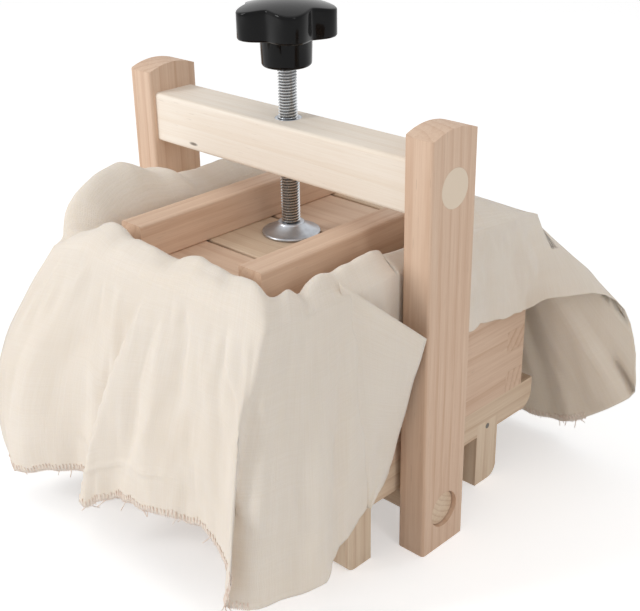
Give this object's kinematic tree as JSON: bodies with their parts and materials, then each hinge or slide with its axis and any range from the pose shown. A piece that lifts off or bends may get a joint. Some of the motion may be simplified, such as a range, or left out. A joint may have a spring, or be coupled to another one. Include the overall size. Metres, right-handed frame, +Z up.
{
  "type": "tofu press",
  "caption": "Wooden screw press with a slatted base, finger-jointed mould, slatted lid, hand screw on a post-and-beam frame, and a lining cloth.",
  "frame": {"origin": "on the table straight under the screw, at the middle of the footprint", "axes": "+X along the cross beam to the right post, +Y to the back, +Z up"},
  "size_m": [0.2755, 0.271, 0.271],
  "materials": {
    "frame_wood": "sanded, unoiled",
    "pale_wood": "sanded, unoiled",
    "mould_wood": "sanded, unoiled",
    "zinc_steel": "zinc plated",
    "nail_steel": "dull",
    "knob_plastic": "gloss",
    "muslin": "unbleached woven cotton"
  },
  "bodies": {
    "frame_and_base": {"post_left": "frame_wood", "post_right": "frame_wood", "cross_beam": "pale_wood", "beam_insert": "zinc_steel", "rail_left": "pale_wood", "rail_right": "pale_wood", "leg_front_left": "pale_wood", "leg_front_right": "pale_wood", "leg_back_left": "pale_wood", "leg_back_right": "pale_wood", "floor_slat_1": "mould_wood", "floor_slat_2": "mould_wood", "floor_slat_3": "mould_wood", "floor_slat_4": "mould_wood", "floor_nails": "nail_steel", "leg_nails": "nail_steel"},
    "loose_rod": {"cross_rod": "pale_wood"},
    "foot": {"foot_disc": "zinc_steel"},
    "screw": {"threaded_spindle": "zinc_steel", "star_knob": "knob_plastic", "knob_bush": "zinc_steel"},
    "lid": {"lid_slat_1": "mould_wood", "lid_slat_2": "mould_wood", "lid_slat_3": "mould_wood", "lid_slat_4": "mould_wood", "lid_cleat_left": "mould_wood", "lid_cleat_right": "mould_wood", "lid_nails": "nail_steel"},
    "mould": {"wall_front": "mould_wood", "wall_back": "mould_wood", "wall_left": "mould_wood", "wall_right": "mould_wood", "cloth_front": "muslin", "cloth_left": "muslin", "cloth_back": "muslin", "cloth_right_back": "muslin", "cloth_right_front": "muslin", "cloth_right_middle": "muslin"}
  },
  "joints": [
    {"name": "knob_turn", "type": "hinge", "parent": "foot", "child": "screw", "pos_m": [0, 0, 0.237], "axis": [0, 0, 1], "range_deg": [-6240, 3480]},
    {"name": "foot_press", "type": "slide", "parent": "frame_and_base", "child": "foot", "axis": [0, 0, 1], "range_m": [-0.026, 0.0145]},
    {"name": "lid_press", "type": "slide", "parent": "frame_and_base", "child": "lid", "axis": [0, 0, 1], "range_m": [-0.026, 0.0145]},
    {"name": "rod_pull", "type": "slide", "parent": "frame_and_base", "child": "loose_rod", "axis": [1, 0, 0], "range_m": [0, 0.19]},
    {"name": "mould_lift", "type": "slide", "parent": "frame_and_base", "child": "mould", "axis": [0, 0, 1], "range_m": [0, 0.014]}
  ],
  "couplings": [
    {"joint": "foot_press", "follows": "knob_turn", "m_per_rad": 0.00023873},
    {"joint": "lid_press", "follows": "knob_turn", "m_per_rad": 0.00023873}
  ]
}
